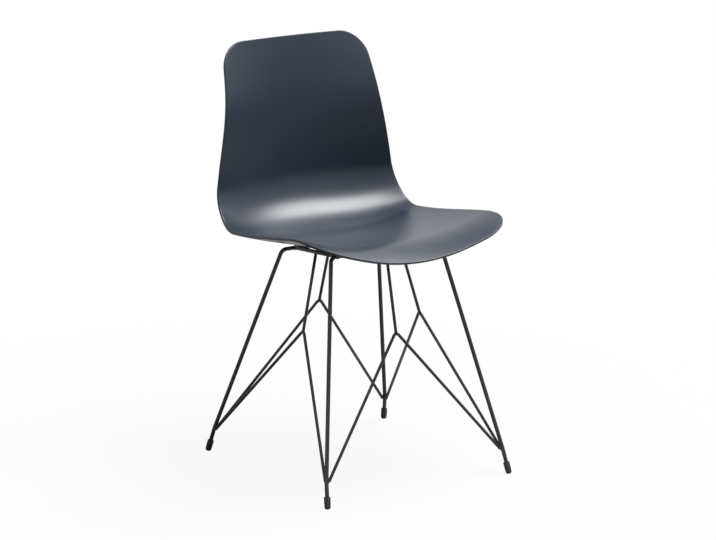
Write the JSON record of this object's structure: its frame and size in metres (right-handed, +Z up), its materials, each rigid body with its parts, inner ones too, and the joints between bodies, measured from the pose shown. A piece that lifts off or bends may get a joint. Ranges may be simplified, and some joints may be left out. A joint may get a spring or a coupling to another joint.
{
  "type": "shell chair",
  "caption": "Side chair with a thin moulded plastic seat and back in one shell, screwed to a welded frame of bent steel wire with forked braces and capped feet",
  "frame": {"origin": "on the floor, under the centre of the chair's bounding box, in its left-right middle plane", "axes": "+X to the sitter's left, -Y to the front where the sitter's knees are, +Z up"},
  "size_m": [0.4496, 0.4878, 0.8237],
  "materials": {
    "shell_plastic": "satin charcoal moulded plastic",
    "frame_steel": "satin black powder coat",
    "cap_plastic": "plain black moulded plastic",
    "pad_rubber": "plain black rubber",
    "insert_brass": "turned brass",
    "screw_steel": "zinc plated steel"
  },
  "bodies": {
    "root": {"seat_shell": "shell_plastic", "threaded_inserts": "insert_brass", "mounting_screws": "screw_steel", "screw_washers": "screw_steel", "front_left_mounting_plate": "frame_steel", "front_right_mounting_plate": "frame_steel", "rear_left_mounting_plate": "frame_steel", "rear_right_mounting_plate": "frame_steel", "front_left_mounting_pad": "pad_rubber", "front_right_mounting_pad": "pad_rubber", "rear_left_mounting_pad": "pad_rubber", "rear_right_mounting_pad": "pad_rubber", "front_left_foot_cap": "cap_plastic", "front_right_foot_cap": "cap_plastic", "rear_left_foot_cap": "cap_plastic", "rear_right_foot_cap": "cap_plastic", "front_leg_hoop": "frame_steel", "rear_leg_hoop": "frame_steel", "left_side_rail": "frame_steel", "right_side_rail": "frame_steel", "front_brace_stem": "frame_steel", "front_brace_fork": "frame_steel", "rear_brace_stem": "frame_steel", "rear_brace_fork": "frame_steel", "left_brace_stem": "frame_steel", "left_brace_fork": "frame_steel", "right_brace_stem": "frame_steel", "right_brace_fork": "frame_steel"}
  },
  "joints": []
}
